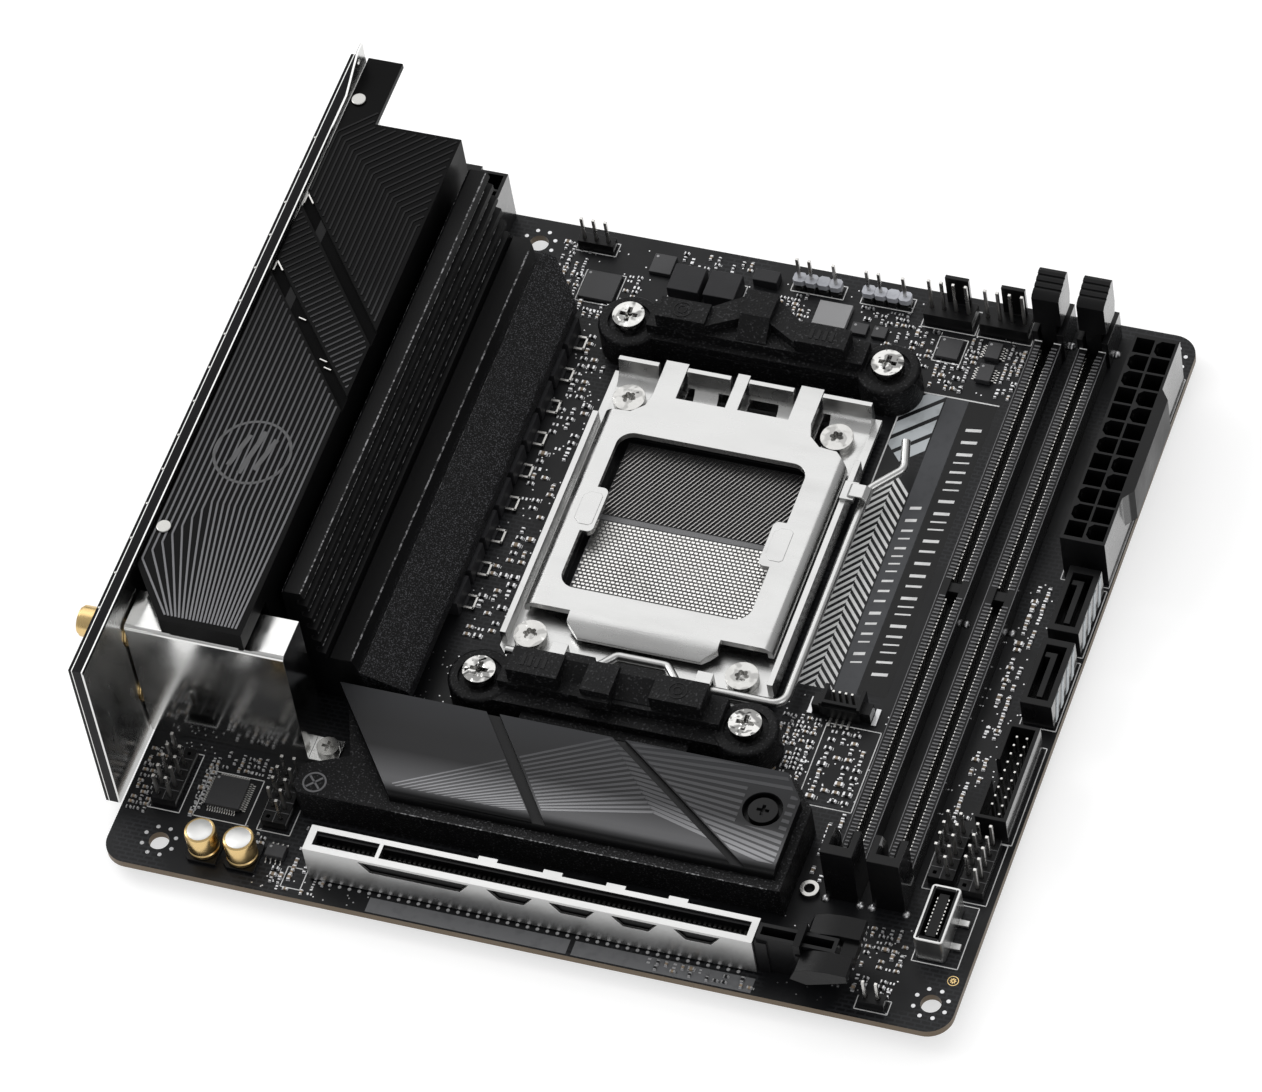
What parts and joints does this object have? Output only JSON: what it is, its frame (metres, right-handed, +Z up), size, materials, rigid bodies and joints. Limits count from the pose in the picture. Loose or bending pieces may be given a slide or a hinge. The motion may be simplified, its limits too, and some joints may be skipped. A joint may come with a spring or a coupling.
{
  "type": "motherboard",
  "caption": "Small square computer motherboard with a lever-lock processor socket, finned heatsinks, memory slots with latches, a steel-clad expansion slot and a rear port panel.",
  "frame": {"origin": "midpoint of the two mounting holes on the expansion-slot side, on the underside of the circuit board", "axes": "+Z up out of the component side; +X from the rear-port edge to the front edge, along the expansion slot; +Y from the expansion-slot edge to the far edge"},
  "size_m": [0.1825, 0.1719, 0.0484],
  "materials": {
    "pcb": "black solder mask, satin",
    "black_plastic": "moulded black plastic",
    "grey_plastic": "moulded light grey plastic",
    "black_metal": "black coated aluminium, fine texture",
    "grey_metal": "dark grey anodised, satin",
    "steel": "bright stamped steel",
    "nickel": "nickel plated",
    "gold": "gold plated",
    "pad": "soft silicone pad",
    "chip": "moulded epoxy",
    "ferrite": "dark grey ferrite"
  },
  "bodies": {
    "board": {"circuit_board": "pcb", "io_shield": "steel", "display_connectors": "steel", "usb_connectors": "steel", "lan_connector": "steel", "audio_jacks": "black_plastic", "button_switch": "black_plastic", "io_cover": "black_metal", "cover_rivets": "nickel", "wifi_shield": "steel", "wifi_card": "pcb", "antenna_connectors": "gold", "power_stages": "chip", "power_chokes": "ferrite", "thermal_pads": "pad", "vrm_heatsink": "black_metal", "heatsink_screws": "nickel", "socket_body": "black_plastic", "socket_contacts": "gold", "socket_frame": "steel", "socket_screws": "nickel", "socket_backplate": "black_metal", "cooler_bracket_near": "black_plastic", "cooler_bracket_far": "black_plastic", "cooler_screws": "nickel", "memory_slot_a": "black_plastic", "memory_slot_b": "black_plastic", "slot_contacts": "gold", "atx_power_header": "black_plastic", "cpu_power_header": "black_plastic", "power_pins": "nickel", "sata_connectors": "black_plastic", "usb3_header": "black_plastic", "usb_c_header": "steel", "front_panel_header": "black_plastic", "usb2_header": "black_plastic", "hd_audio_header": "black_plastic", "service_header": "black_plastic", "strip_headers": "black_plastic", "fan_headers": "black_plastic", "led_headers": "grey_plastic", "header_pins": "nickel", "wafer_connector": "black_plastic", "pcie_slot_body": "black_plastic", "pcie_slot_shield": "steel", "m2_base_plate": "black_metal", "m2_cover_plate": "grey_metal", "small_screws": "nickel", "m2_standoff": "gold", "m2_connector": "black_plastic", "chipset": "chip", "audio_capacitors": "gold", "chip_packages": "chip", "small_inductors": "ferrite"},
    "socket_load_plate": {"socket_load_plate": "steel"},
    "socket_lever": {"socket_lever": "steel"},
    "memory_latch_a": {"memory_latch_a": "black_plastic"},
    "memory_latch_b": {"memory_latch_b": "black_plastic"},
    "pcie_slot_latch": {"pcie_slot_latch": "black_plastic"},
    "firmware_button": {"firmware_button": "black_plastic"}
  },
  "joints": [
    {"name": "socket_lever_hinge", "type": "hinge", "parent": "board", "child": "socket_lever", "pos_m": [0.00237, 0.05605, 0.0059], "axis": [1, 0, 0], "range_deg": [0, 125]},
    {"name": "load_plate_hinge", "type": "hinge", "parent": "board", "child": "socket_load_plate", "pos_m": [-0.00043, 0.12755, 0.0078], "axis": [-1, 0, 0], "range_deg": [0, 105]},
    {"name": "memory_latch_a_hinge", "type": "hinge", "parent": "board", "child": "memory_latch_a", "pos_m": [0.05447, 0.15815, 0.0051], "axis": [-1, 0, 0], "range_deg": [0, 25]},
    {"name": "memory_latch_b_hinge", "type": "hinge", "parent": "board", "child": "memory_latch_b", "pos_m": [0.06367, 0.15815, 0.0051], "axis": [-1, 0, 0], "range_deg": [0, 25]},
    {"name": "pcie_latch_hinge", "type": "hinge", "parent": "board", "child": "pcie_slot_latch", "pos_m": [0.05387, 0.00145, 0.0056], "axis": [0, 1, 0], "range_deg": [0, 18], "stiffness_Nm_per_rad": 0.005, "springref_deg": -11.46},
    {"name": "firmware_button_slide", "type": "slide", "parent": "board", "child": "firmware_button", "axis": [1, 0, 0], "range_m": [0, 0.0008], "stiffness_N_per_m": 200, "springref_m": -0.0008}
  ]
}
